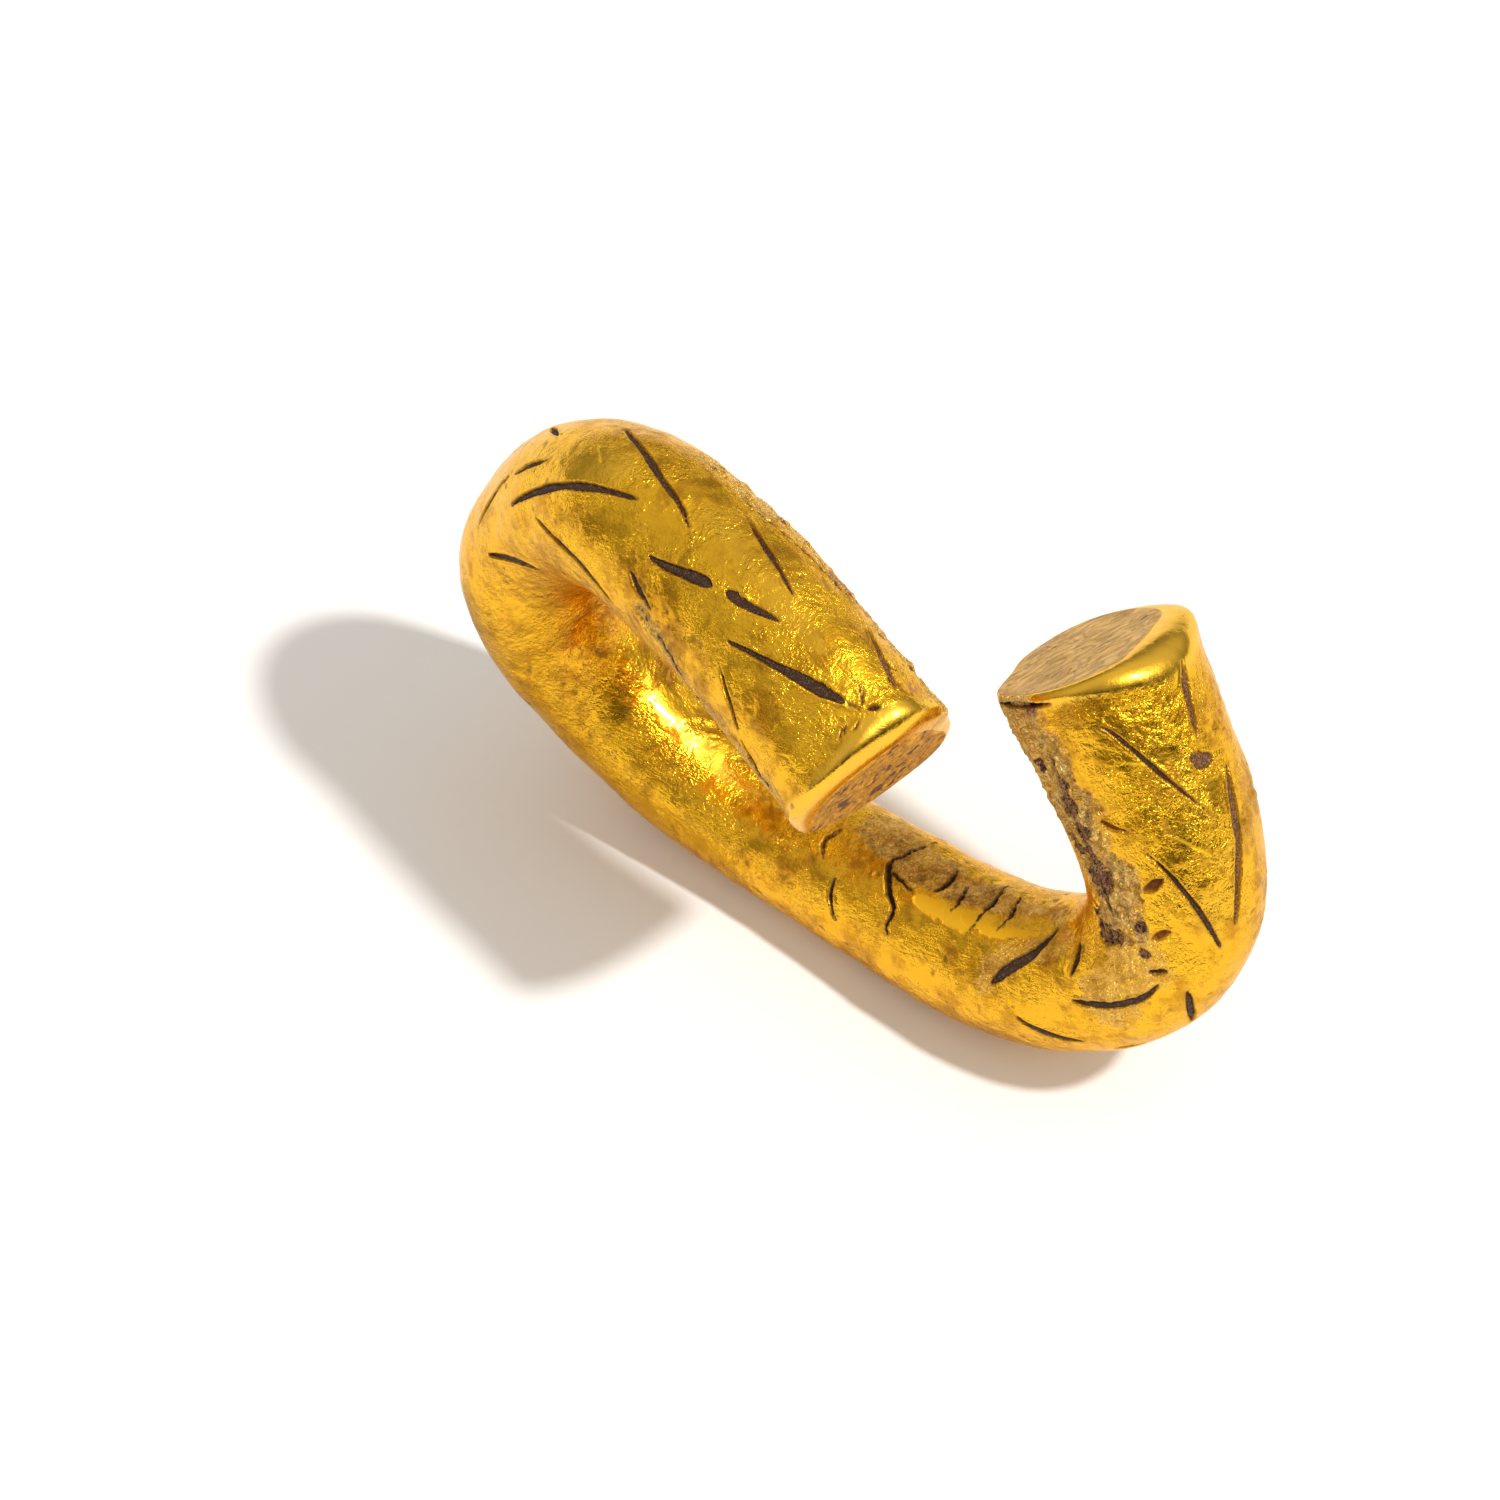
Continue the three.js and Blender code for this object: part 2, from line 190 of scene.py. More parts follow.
# Patches of each kind: place, turn in degrees, radius in mm
PATCHES = {
    "stain": [
        (0.951, 267, 0.35), (0.94, 263, 0.4), (0.925, 267, 0.45), (0.905, 259, 0.55), (0.889, 254, 0.6),
        (0.894, 264, 0.45), (0.863, 241, 0.42), (0.848, 243, 0.5), (0.852, 256, 0.32), (0.867, 281, 0.28),
        (0.851, 277, 0.26), (0.962, 252, 0.4), (0.915, 246, 0.5), (0.128, 54, 0.22), (0.03, 50, 0.2), (0.05, 48, 0.16),
    ],
    "blush": [(0.088, 59, 0.5), (0.076, 56, 0.45), (0.064, 53, 0.35), (0.02, 30, 0.35), (0.993, 268, 0.3)],
    # Partly real tarnish, mostly painted shade: darker patches on the back and inside the bends where shadow and dark
    # reflections fall, and on the right arm and the lower side of the left arm
    "tarnish_and_shade": [
        (0.625, 185, 0.9), (0.65, 173, 0.9), (0.68, 166, 0.9), (0.717, 162, 0.9), (0.712, 227, 0.8), (0.732, 222, 0.8),
        (0.753, 222, 0.7), (0.563, 196, 1.0), (0.594, 201, 0.9), (0.425, 160, 1.2), (0.452, 163, 1.0), (0.5, 170, 1.2),
        (0.78, 215, 0.7), (0.6, 230, 0.8), (0.64, 200, 1.0), (0.66, 182, 0.9), (0.7, 178, 0.7), (0.735, 172, 0.8),
        (0.37, 186, 1.3), (0.35, 172, 1.3), (0.39, 200, 1.0), (0.33, 190, 1.2), (0.96, 42, 1.7), (0.91, 34, 1.7),
        (0.87, 26, 1.6), (0.94, 326, 1.3), (0.12, 288, 1.4), (0.085, 288, 1.2), (0.155, 300, 1.2), (0.05, 300, 1.0),
    ],
}
# Marks that the skin passes to its finish; the tarnish one is partly painted shade, and the rim one also brings a paler
# painted sheen
MARKS = ("cut", "soot", "rust", "band", "stain", "fresh", "rim", "blush", "tarnish_and_shade")

# Length of the bar in mm that the reach of its swells counts by
SWELL_LENGTH = 55.2

# Layers of noise: share or height, size in mm and seed
HAMMERING = [(0.05, 2.6, 3), (0.034, 0.9, 4), (0.008, 0.3, 5)]
JAGGED = [(0.6, 0.16, 6), (0.4, 0.07, 7)]
ROUGHNESS = [(0.6, 0.45, 9), (0.45, 0.2, 10), (0.35, 0.1, 11)]
FACE_RELIEF = [(0.05, 1.1, 21), (0.03, 0.4, 22)]
FACE_EDGE = [(0.2, 0.5, 23), (0.1, 0.2, 25)]

# Even shares of a band's and of a slot's path, where half widths stand
BAND_SHARES, SLOT_SHARES = np.linspace(0, 1, 30), np.linspace(0, 1, 48)

# In mm: how far beyond its half width a path is felt, a half width that stands for none, and the least that counts
REACH, NO_WIDTH, LEAST_WIDTH = 1.2, 1e-6, 1e-5

# Cuts in the skin, in mm: run of the wall, height, distance and reach of the raised lip, and reach of the soot
WALL, LIP_HEIGHT, LIP_AWAY, LIP_REACH, SOOT_REACH = 0.035, 0.02, 0.08, 0.05, 0.04

# How far the opening behind a rim lies inside the rim's edge, and at least inside the bar, in mm
OPENING_STEP, OPENING_LEAST = 0.04, 0.13

# Points round a strip's section, then rings and columns of an end face
SECTION_POINTS, FACE_RINGS, FACE_COLUMNS = 14, 110, 360

# The light tent that the metal mirrors: its least strength, its glows as a direction, two shares of facing it between
# which they rise and a strength, and its front opening
TENT_LEAST = 0.2
TENT_GLOWS = [
    ((0.0, 0.0, 1.0), 0.0, 0.8, 0.47), ((0.486, -0.237, 0.841), 0.78, 0.985, 0.9), ((0.45, 0.3, 0.84), 0.5, 0.95, 0.12),
]
TENT_FRONT = ((0.35, -0.75, 0.56), 0.4, 0.95)

# Where the key lamp stands, and the camera's place, tilt, lens and sensor width
LAMP_AZIMUTH, LAMP_ELEVATION = math.radians(-25.5), math.radians(57.0)
CAMERA_PLACE, CAMERA_TILT = (-3.114 * MM, -143.66 * MM, 191.07 * MM), math.radians(38.0)
LENS, SENSOR_WIDTH = 192.0, 36.0

# Half the floor's width, and how far it lies under the ring
FLOOR_HALF, FLOOR_DROP = 1.5, 0.004 * MM


def through(rows, place):
    """Uniform Catmull-Rom curve through rows of numbers at places from 0 to 1, with reflected end rows."""
    rows = np.asarray(rows, float)
    padded = np.vstack([2 * rows[0] - rows[1], rows, 2 * rows[-1] - rows[-2]])
    along = np.clip(place, 0, 1) * (len(rows) - 1)
    i = np.minimum(np.floor(along).astype(int), len(rows) - 2)
    w = (along - i)[..., None]
    a, b, c, d = (padded[i + k] for k in range(4))
    m1, m2 = (c - a) / 2, (d - b) / 2
    return (((2 * b - 2 * c + m1 + m2) * w + (3 * c - 3 * b - 2 * m1 - m2)) * w + m1) * w + b


def unit(vectors):
    """The vectors at a length of 1."""
    return vectors / np.maximum(np.linalg.norm(vectors, axis=-1, keepdims=True), 1e-12)


def smooth(value, start, end):
    """0 below start, 1 above end, and a smooth step between them."""
    t = np.clip((value - start) / (end - start), 0, 1)
    return t * t * (3 - 2 * t)


def bell(value):
    """1 at 0, falling off to both sides as a bell curve."""
    return np.exp(-(value**2))


def turned_from(degrees, turn):
    """How far a turn in radians lies from a direction in degrees, within half a turn to each side."""
    return np.angle(np.exp(1j * (turn - math.radians(degrees))))


def around(turn, rows):
    """Periodic Catmull-Rom curve through rows of numbers that stand evenly round the bar."""
    wrapped = np.array([rows[-1], *rows, *rows[:2]])
    return through(wrapped, (np.mod(turn, 2 * np.pi) / (2 * np.pi) * len(rows) + 1) / (len(rows) + 2))


def grain(points, size, seed):
    """Value noise from -1 to 1: each corner of a lattice of size mm gets a hashed number, blended by a smooth step."""
    q = points / (size * MM)
    cell = np.floor(q).astype(np.int64)
    f = q - cell
    f = f * f * (3 - 2 * f)
    total = np.zeros(points.shape[:-1])
    for corner in itertools.product((0, 1), repeat=3):
        n = cell + np.array(corner)
        h = (n[..., 0] * 73856093) ^ (n[..., 1] * 19349663) ^ (n[..., 2] * 83492791) ^ (seed * 2654435761)
        h = (h ^ (h >> 13)) * 1274126177
        h = ((h ^ (h >> 16)) & 0xFFFF) / 32767.5 - 1
        total += np.prod(np.where(corner, f, 1 - f), axis=-1) * h
    return total


def ridged(points, size, seed):
    """Ridges of height 1 where the noise passes 0, falling to -1 where it is strongest."""
    return 1 - 2 * np.abs(grain(points, size, seed))


def layers(points, rows):
    """The sum of value noises, each with its share, size in mm and seed."""
    return sum(share * grain(points, size, seed) for share, size, seed in rows)


def taper(t, start, end):
    """Rises over the share start and falls over the share end, each as a share to the power 0.7."""
    return (np.clip(t / start, 0, 1) * np.clip((1 - t) / end, 0, 1)) ** 0.7


class Bar:
    """The bent bar's surface: a middle line and a radius through tables of shares, and directions round it."""

    def __init__(self, sizes):
        self.width, self.radius = sizes.ring_width, sizes.bar_radius
        fine = np.linspace(0, 1, 401)
        line = self.line(fine)
        self.length = float(np.linalg.norm(np.diff(line, axis=0), axis=1).sum())
        self.shift = np.array([0, 0, -(line[:, 2] - self.radius_at(fine)).min() - sizes.rest_flat_depth])
        skin = self.surface(np.linspace(0, 1, 300)[:, None], np.linspace(0, 2 * np.pi, 90))[0].reshape(-1, 3)
        self.shift[:2] = (SLEEVE_BOX.sum(0) / 2 - (skin.min(0) + skin.max(0)) / 2)[:2]

    def line(self, place):
        return through(SPINE_SHARES * self.width, place)

    def radius_at(self, place):
        return through(RADIUS_SHARES * self.radius, place)[..., 0]

    def surface(self, place, turn, inset=0.0):
        """Points, outward normals and directions along the bar.
        A point is the middle line plus the radius times cos(turn) outward and sin(turn) sideways."""
        place, turn, inset = np.broadcast_arrays(place, turn, inset)
        step = 1e-4
        inside = np.clip(place, 0, 1)
        along = unit(self.line(np.minimum(inside + step, 1)) - self.line(np.maximum(inside - step, 0)))
        side = unit(HOOP_AXIS - along * (along @ HOOP_AXIS)[..., None])
        outward = np.cross(side, along)
        normal = outward * np.cos(turn)[..., None] + side * np.sin(turn)[..., None]
        centre = self.line(inside) + along * ((place - inside) * self.length)[..., None] + self.shift
        radius = self.radius_at(inside) + self.swell(inside, turn) - inset
        return centre + normal * radius[..., None], normal, along

    def swell(self, place, turn):
        """The sum of soft bumps, each a bell curve along the bar and round it."""
        total = np.zeros(np.broadcast(place, turn).shape)
        for at, degrees, reach, across, height in SWELLS:
            run, off = (place - at) * SWELL_LENGTH, turned_from(degrees, turn) * self.radius / MM
            total = total + height * MM * np.exp(-((run / reach) ** 2) - (off / across) ** 2)
        return total

    def path(self, rows, shares):
        """The surface at shares of a smooth path through rows of a place and a turn in degrees."""
        rows = through([[place, math.radians(turn)] for place, turn in rows], shares)
        return self.surface(rows[:, 0], rows[:, 1])

    def near(self, points, path, widths):
        """How far points lie from a path and its half width there, both in mm, and whether there is any width.
        The half widths are given at even shares of the path."""
        line = self.path(path, np.linspace(0, 1, len(widths)))[0]
        far, half = np.full(points.shape[:-1], 1000.0), np.full(points.shape[:-1], NO_WIDTH)
        middle = (line.min(0) + line.max(0)) / 2
        reach = np.linalg.norm(line - middle, axis=1).max() + (REACH + widths.max()) * MM
        close = np.linalg.norm(points - middle, axis=-1) < reach
        p = points[close]
        best, best_half = np.full(len(p), 1.0), np.zeros(len(p))
        for i in range(len(line) - 1):
            a, ab = line[i], line[i + 1] - line[i]
            t = np.clip((p - a) @ ab / (ab @ ab), 0, 1)
            d = np.linalg.norm(p - a - t[:, None] * ab, axis=1)
            closer = d < best
            best = np.where(closer, d, best)
            best_half = np.where(closer, widths[i] + (widths[i + 1] - widths[i]) * t, best_half)
        far[close], half[close] = best / MM, best_half
        return far, half, half > LEAST_WIDTH


def tube_faces(rings, columns):
    """Quads between rings of a closed tube, and a fan over each end to the two last points."""
    j = np.arange(columns)
    k = (j + 1) % columns
    first, last = np.arange(rings - 1)[:, None] * columns, (rings - 1) * columns
    quads = np.stack([first + j, first + k, first + k + columns, first + j + columns], -1).reshape(-1, 4)
    start = np.stack([np.full(columns, last + columns), k, j], -1)
    end = np.stack([np.full(columns, last + columns + 1), last + j, last + k], -1)
    return quads.tolist() + start.tolist() + end.tolist()


def turned_out(points, faces):
    """The faces, turned round if the closed shape that they make has a negative volume."""
    triangles = np.array([tri for f in faces for tri in ((f[0], f[1], f[2]), (f[0], f[2], f[-1]))])
    a, b, c = (points[triangles[:, k]] - points.mean(0) for k in range(3))
    return faces if (a * np.cross(b, c)).sum() > 0 else [f[::-1] for f in faces]


def add_object(name, data):
    """A new object in the scene."""
    made = bpy.data.objects.new(name, data)
    bpy.context.scene.collection.objects.link(made)
    return made


def add_piece(name, node, rings, material, marks=None, normals=None):
    """A closed piece through rings of points, fanned to a middle at each end, that rides on the ring's body and
    replaces a node. It is turned outwards, unless it brings its own normals."""
    points = np.vstack([rings.reshape(-1, 3), rings.mean(1)[[0, -1]]])
    faces = tube_faces(*rings.shape[:2])
    if normals is None:
        faces = turned_out(points, faces)
    mesh = bpy.data.meshes.new(name)
    mesh.from_pydata(points.tolist(), [], faces)
    mesh.shade_smooth()
    for key, values in (marks or {}).items():
        values = np.append(values.ravel(), [0, 0]).astype(np.float32)
        mesh.attributes.new(key, "FLOAT", "POINT").data.foreach_set("value", values)
    if normals is not None:
        mesh.normals_split_custom_set_from_vertices(normals.tolist())
    mesh.materials.append(material)
    piece = add_object(name, mesh)
    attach(piece, "root")
    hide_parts(node)


class Value:
    """An output socket of a node tree, with sums and products written as such."""

    def __init__(self, graph, socket):
        self.graph, self.socket = graph, socket

    def math(self, kind, *values):
        return self.graph.node("ShaderNodeMath", {"operation": kind}, dict(enumerate(values)))

    def __add__(self, other):
        return self.math("ADD", self, other)

    def __sub__(self, other):
        return self.math("SUBTRACT", self, other)

    def __rsub__(self, other):
        return self.math("SUBTRACT", other, self)

    def __mul__(self, other):
        return self.math("MULTIPLY", self, other)

    def clamped(self):
        return self.graph.node("ShaderNodeClamp", {}, {0: self})

    def step(self, start, end):
        """Smooth step from 0 at start to 1 at end."""
        inputs = {"Value": self, "From Min": start, "From Max": end}
        return self.graph.node("ShaderNodeMapRange", {"interpolation_type": "SMOOTHSTEP"}, inputs)

    __radd__ = __add__
    __rmul__ = __mul__


class Graph:
    """A node tree under construction."""

    def __init__(self, tree):
        self.tree = tree

    def node(self, kind, settings, inputs, output=0):
        """Adds a node with its settings, then its inputs as values or links, and gives one output as a Value."""
        made = self.tree.nodes.new(kind)
        for key, value in settings.items():
            setattr(made, key, value)
        for key, value in inputs.items():
            self.feed(made.inputs[key], value)
        return Value(self, made.outputs[output])

    def feed(self, socket, value):
        if isinstance(value, Value):
            self.tree.links.new(value.socket, socket)
        elif socket.type == "RGBA" and len(value) == 3:
            socket.default_value = (*value, 1.0)
        else:
            socket.default_value = value

    def ray(self, *kinds):
        """1 for rays of the named kinds and 0 for others."""
        flags = [self.node("ShaderNodeLightPath", {}, {}, f"Is {kind} Ray") for kind in kinds]
        return sum(flags[1:], flags[0]).clamped()

    def blend(self, share, a, b):
        """Colour a, going over to colour b where share is 1."""
        return self.node("ShaderNodeMix", {"data_type": "RGBA"}, {0: share, 6: a, 7: b}, 2)

    def facing(self, vector, direction):
        """1 where the vector points in the direction, 0 where it stands square to it."""
        return self.node("ShaderNodeVectorMath", {"operation": "DOT_PRODUCT"}, {0: vector, 1: direction}, "Value")


class Finish(Graph):
    """A material under construction. Sizes in it are in mm."""

    def __init__(self, name):
        self.material = bpy.data.materials.new(name)
        self.material.use_nodes = True
        super().__init__(self.material.node_tree)
        self.shader = self.tree.nodes["Principled BSDF"]
        self.output = self.tree.nodes["Material Output"]
        self.place = self.node("ShaderNodeTexCoord", {}, {}, "Object")

    def mark(self, name):
        return self.node("ShaderNodeAttribute", {"attribute_name": name}, {}, "Fac")

    def noise(self, size, detail=3.0, rough=0.55, where=None, warp=0.0):
        """Fractal noise from 0 to 1 whose largest features are about the given size."""
        inputs = {"Vector": where or self.place, "Scale": 1 / (size * MM), "Detail": detail, "Roughness": rough}
        return self.node("ShaderNodeTexNoise", {}, {**inputs, "Distortion": warp})

    def creases(self, size, where=None, width=0.13, warp=0.8):
        """Curly raised lines about the given size apart: 1 where a noise passes its middle value, 0 away from it."""
        swing = self.noise(size, 2.0, 0.6, where, warp) - 0.5
        return 1 - swing.math("ABSOLUTE", swing).step(0.0, width)

    def stretched(self, turn, stretch):
        """Object coordinates turned by Euler angles and squeezed along the turned X, for streaks along it."""
        inputs = {"Vector": self.place, "Rotation": turn, "Scale": (stretch, 1.0, 1.0)}
        return self.node("ShaderNodeMapping", {"vector_type": "TEXTURE"}, inputs)

    def bump(self, height, distance, base=None):
        """The normal of a relief where a height of 1 is the given distance, over a base normal or none."""
        inputs = {"Height": height, "Distance": distance * MM, "Strength": 1.0}
        if base is not None:
            inputs["Normal"] = base
        return self.node("ShaderNodeBump", {}, inputs)

    def done(self, inputs):
        for key, value in inputs.items():
            self.feed(self.shader.inputs[key], value)
        return self.material


def gold_finish(name, look, streak_turn):
    """Burnished gold: mottled yellow over a darker olive, tan film in the worn bands, purple-brown corrosion,
    brown specks, fine creases and scratches, and what the skin's marks say. Part of the darker olive is painted
    shade, where the patches of tarnish and shade and the necks behind the rims are marked. The polished rims get a
    paler painted sheen."""
    f = Finish(name)
    cut, soot, rust, band, stain, fresh, rim, blush, tarnish_and_shade = (f.mark(m) for m in MARKS)
    broad = f.noise(1.5, 2.0, 0.6)
    mottle = f.noise(0.5, 1.8)
    fine = f.noise(0.15, 1.5, 0.6)
    specks = f.noise(0.17, 4.0, 0.7)
    along = f.stretched(streak_turn, 4.0)
    zone = f.noise(1.1, 2.0).step(0.38, 0.58)
    crinkle = f.creases(0.34) * 0.5 + f.creases(0.17) * 0.3 + f.creases(0.26, along) * 0.35
    hair = f.noise(0.1, 1.0, 0.6, f.stretched(streak_turn, 7.0))
    cross = f.noise(0.09, 1.0, 0.6, f.stretched((0.4, 0.9, 0.7), 8.0))
    crumb = f.noise(0.36, 3.0, 0.62, warp=0.7)
    plain = 1 - rim
    # Mottling from noise; the tarnish mark in it is partly painted shade, which darkens the gold towards deep gold
    shade = mottle * 0.5 + fine * 0.12 + hair * 0.11 + broad * 0.6 + tarnish_and_shade * 0.1 - crinkle * 0.06
    olive = (shade.step(0.59, 0.79) * 0.54 * plain + tarnish_and_shade * 0.27 + (1 - zone) * 0.12).clamped()
    olive = olive * (1 - fresh)
    flakes = (mottle * 0.5 + fine * 0.5 + specks * 0.3).step(0.62, 0.72)
    film = (band * (1 - flakes * 0.7)).clamped() * (1 - fresh)
    veins = f.creases(0.42, width=0.05) * band
    curls = f.creases(0.3, width=0.09, warp=1.6) * band
    corroded = (crumb + stain * 0.18).step(0.57, 0.61) * (stain * 1.6 + band * 0.25).clamped() * (1 - curls * 0.6)
    dirt = (specks.step(0.66, 0.74) * plain * 0.5 + soot * 0.85).clamped() * (1 - fresh * 0.9)
    color = f.blend(olive, look.gold, look.gold_deep)
    # Painted sheen: a paler gold over the polished rims and stretches
    color = f.blend(rim * 0.3, color, look.gold_rim_sheen)
    color = f.blend(fresh, color, look.gold_bright)
    flaky = (fine * 0.5 + crumb * 0.5 + curls * 0.22).step(0.41, 0.52)
    color = f.blend(film, color, f.blend(flaky, look.film_deep, look.film))
    color = f.blend(veins * 0.25, color, look.brown)
    color = f.blend(blush * fine.step(0.35, 0.5), color, look.blush)
    color = f.blend(corroded, color, f.blend(fine.step(0.45, 0.6), look.purple, look.brown))
    color = f.blend(dirt, color, f.blend(rust, look.dirt, look.rust))
    color = f.blend(cut, color, f.blend(rust, look.grit, look.rust))
    dull = film * (0.3 + band.step(0.6, 0.95) * 0.2) + dirt * 0.8 + corroded * 0.9 + cut
    dull = (dull + blush * 0.5 + veins * 0.5 + fresh * 0.6).clamped()
    dull = (dull + tarnish_and_shade * 0.12).clamped()
    roughness = 0.25 + (fine - 0.5) * 0.15 + (mottle - 0.5) * 0.3 + dull * 0.4 + (hair - 0.5) * 0.15 - rim * 0.03
    calm = (1 - rim * 0.85) * (1 - fresh * 0.8)
    waves = (mottle - 0.5) * 0.8 + (broad - 0.5) * 1.8 + crinkle * (0.2 + zone * 0.8) * 0.38 - 0.08
    bump = f.bump(waves * calm, 0.07)
    scratches = fine * 0.12 + hair + cross * 0.8 - specks.step(0.64, 0.78) * 0.3 - 0.95
    bump = f.bump(scratches * calm, 0.012, bump)
    crust = fine + crumb * 1.6 - veins * 0.8 + curls * 0.8 - 1.3
    bump = f.bump(crust * (band + stain + cut * 0.6).clamped(), 0.1, bump)
    return f.done({
        "Base Color": color, "Metallic": 1 - dull * 0.9, "Roughness": roughness.clamped(), "Normal": bump,
        "Coat Weight": 0.16 + rim * 0.08 - dull * 0.12, "Coat Roughness": 0.16, "IOR": 1.45,
        "Specular IOR Level": 0.25, "Specular Tint": (0.92, 0.8, 0.58, 1.0),
    })


def grit_finish(name, look, base, pale, start):
    """Gritty dark filling: brown-grey grains of several sizes with a few pale ones."""
    f = Finish(name)
    grains = f.noise(0.06, 4.0, 0.7)
    clods = f.noise(0.22)
    color = f.blend(grains.step(start, start + 0.16), base, pale)
    color = f.blend(clods.step(0.52, 0.68) * 0.6, color, look.dirt)
    bump = f.bump(grains + clods * 0.8, 0.08)
    return f.done({
        "Base Color": color, "Roughness": 0.4 + clods * 0.4, "Normal": bump, "Metallic": 0.0,
        "Specular IOR Level": 0.35,
    })


def face_finish(name, look, turn, base, deep, stained):
    """Matt tan end face: long streaks like drawn grain, dark pits and purple-brown stains, golden towards the rim."""
    f = Finish(name)
    edge = f.mark("edge")
    streaks = f.noise(0.16, 4.0, 0.65, f.stretched(turn, 5.0))
    pits = f.noise(0.2, 3.0, 0.6, f.stretched(turn, 2.6))
    stain = f.noise(0.5, 4.0, 0.65, f.stretched(turn, 3.5))
    fine = f.noise(0.06, 4.0, 0.65)
    folds = f.creases(0.5, f.stretched(turn, 2.0))
    color = f.blend(streaks.step(0.4, 0.6), deep, base)
    color = f.blend(stain.step(0.55, 0.62) * stained, color, look.purple)
    color = f.blend(folds * 0.35, color, look.dirt)
    color = f.blend(pits.step(0.66, 0.71), color, look.dirt)
    gilt = (edge * (0.7 + streaks * 0.6)).clamped()
    color = f.blend(gilt, color, look.gold)
    bump = f.bump(streaks + fine * 0.5 - pits.step(0.62, 0.72) * 1.2 - folds * 0.5, 0.07)
    return f.done({
        "Base Color": color, "Metallic": 0.08 + gilt * 0.8, "Roughness": 0.6 - gilt * 0.25 + (fine - 0.5) * 0.3,
        "Normal": bump, "IOR": 1.45, "Specular IOR Level": 0.3,
    })


def core_finish(name, look):
    """The hidden core bar: dull brown metal with soft mottling."""
    f = Finish(name)
    mottle = f.noise(0.6, 4.0, 0.6)
    color = f.blend(mottle.step(0.35, 0.65), look.dirt, look.brown)
    bump = f.bump(mottle, 0.03)
    return f.done({"Base Color": color, "Roughness": 0.55 + mottle * 0.3, "Normal": bump, "Metallic": 0.3})


def number_property(name, description, default, **more):
    return bpy.props.FloatProperty(name=name, description=description, default=default, **more)


def length_property(name, description, default, precision=5, **more):
    """A length whose default is given in mm."""
    return number_property(name, description, default * MM, unit="LENGTH", precision=precision, **more)


def color_property(name, description, default):
    return bpy.props.FloatVectorProperty(
        name=name, description=description, subtype="COLOR", size=3, min=0, max=1, default=default)


class HairRingSizes(bpy.types.PropertyGroup):
    ring_width: length_property("Ring width", "Width that the bar's middle line follows in shares", 23.4, min=0.001)
    bar_radius: length_property("Bar radius", "Radius of the bar at its two ends", 2.9, min=0.0002)
    plate_thickness: length_property("End plate thickness", "Thickness of the plate that closes each end", 0.6)
    rim_length: length_property("Rim length", "What a tabled run of 1 for the rounded rims stands for", 1.0)
    rim_share: number_property("Rim share", "How much of the tabled rounding the rims have", 1.0, min=0.2, max=1.3)
    rest_flat_depth: length_property("Rest flat depth", "How deep the flat that the ring rests on is worn", 0.1)
    inlay_width: length_property("Inlay width", "Width of a plain inlaid strip", 0.2)
    inlay_recess: length_property("Inlay recess", "How far the strips lie below the gold", 0.05)
    groove_depth: length_property("Groove depth", "Depth of the slots in the skin", 0.24)
    cell: length_property("Mesh cell", "Spacing of the skin's mesh", 0.05, 6)


class HairRingColors(bpy.types.PropertyGroup):
    gold: color_property("Gold", "Main colour of the burnished gold", (0.94, 0.5, 0.018))
    # Deep gold is also the colour of the painted shade that the tarnish mark and the necks bring
    gold_deep: color_property("Deep gold", "Darker tone in the mottling", (0.4, 0.158, 0.004))
    gold_bright: color_property("Fresh gold", "Clean gold where the skin is scraped", (1.0, 0.58, 0.02))
    # Rim gold is a painted sheen: a paler gold over the polished rims and stretches
    gold_rim_sheen: color_property("Rim gold", "Pale polished gold of the rounded rims", (0.96, 0.6, 0.08))
    film: color_property("Film", "Tan film of the worn bands", (1.0, 0.68, 0.19))
    film_deep: color_property("Deep film", "Darker tone of the film", (0.74, 0.34, 0.12))
    dirt: color_property("Dirt", "Brown dirt in specks and along cuts", (0.1, 0.04, 0.012))
    grit: color_property("Grit", "Floor of the slots", (0.035, 0.018, 0.01))
    rust: color_property("Rust", "Red-brown floor of some nicks", (0.3, 0.09, 0.015))
    inlay: color_property("Inlay", "Dark grains of the inlaid strips", (0.052, 0.02, 0.009))
    inlay_pale: color_property("Pale inlay", "Paler grains of the inlaid strips", (0.3, 0.17, 0.08))
    inlay_rust: color_property("Rusty inlay", "Rust-brown grains of some strips", (0.48, 0.22, 0.06))
    face: color_property("End face", "Tan of the right end face", (0.95, 0.6, 0.2))
    face_deep: color_property("Deep end face", "Darker streaks of that face", (0.76, 0.44, 0.12))
    face_left: color_property("Left end face", "Orange-tan of the left end face", (0.82, 0.38, 0.03))
    face_left_deep: color_property("Deep left end face", "Darker streaks of that face", (0.6, 0.25, 0.018))
    purple: color_property("Purple stain", "Purple-brown corrosion", (0.085, 0.024, 0.026))
    brown: color_property("Brown stain", "Brown corrosion", (0.31, 0.135, 0.075))
    blush: color_property("Red stain", "Pink-red stain on the left arm", (0.5, 0.17, 0.08))


class HairRingStudio(bpy.types.PropertyGroup):
    lamp: number_property("Lamp", "Strength of the key lamp", 2.3)
    lamp_angle: number_property("Lamp size", "Apparent size of the key lamp", math.radians(4.5), subtype="ANGLE")
    sky: number_property("Sky", "Strength of the even light from all round", 0.62)
    front_gap: number_property("Front gap", "How much darker the light tent is at its front opening", 0.25)
    floor_color: color_property("Floor", "Colour of the floor", (0.92, 0.92, 0.92))


def settings():
    """The scene's sizes, colours and studio settings."""
    scene = bpy.context.scene
    return scene.hair_ring_sizes, scene.hair_ring_colors, scene.hair_ring_studio


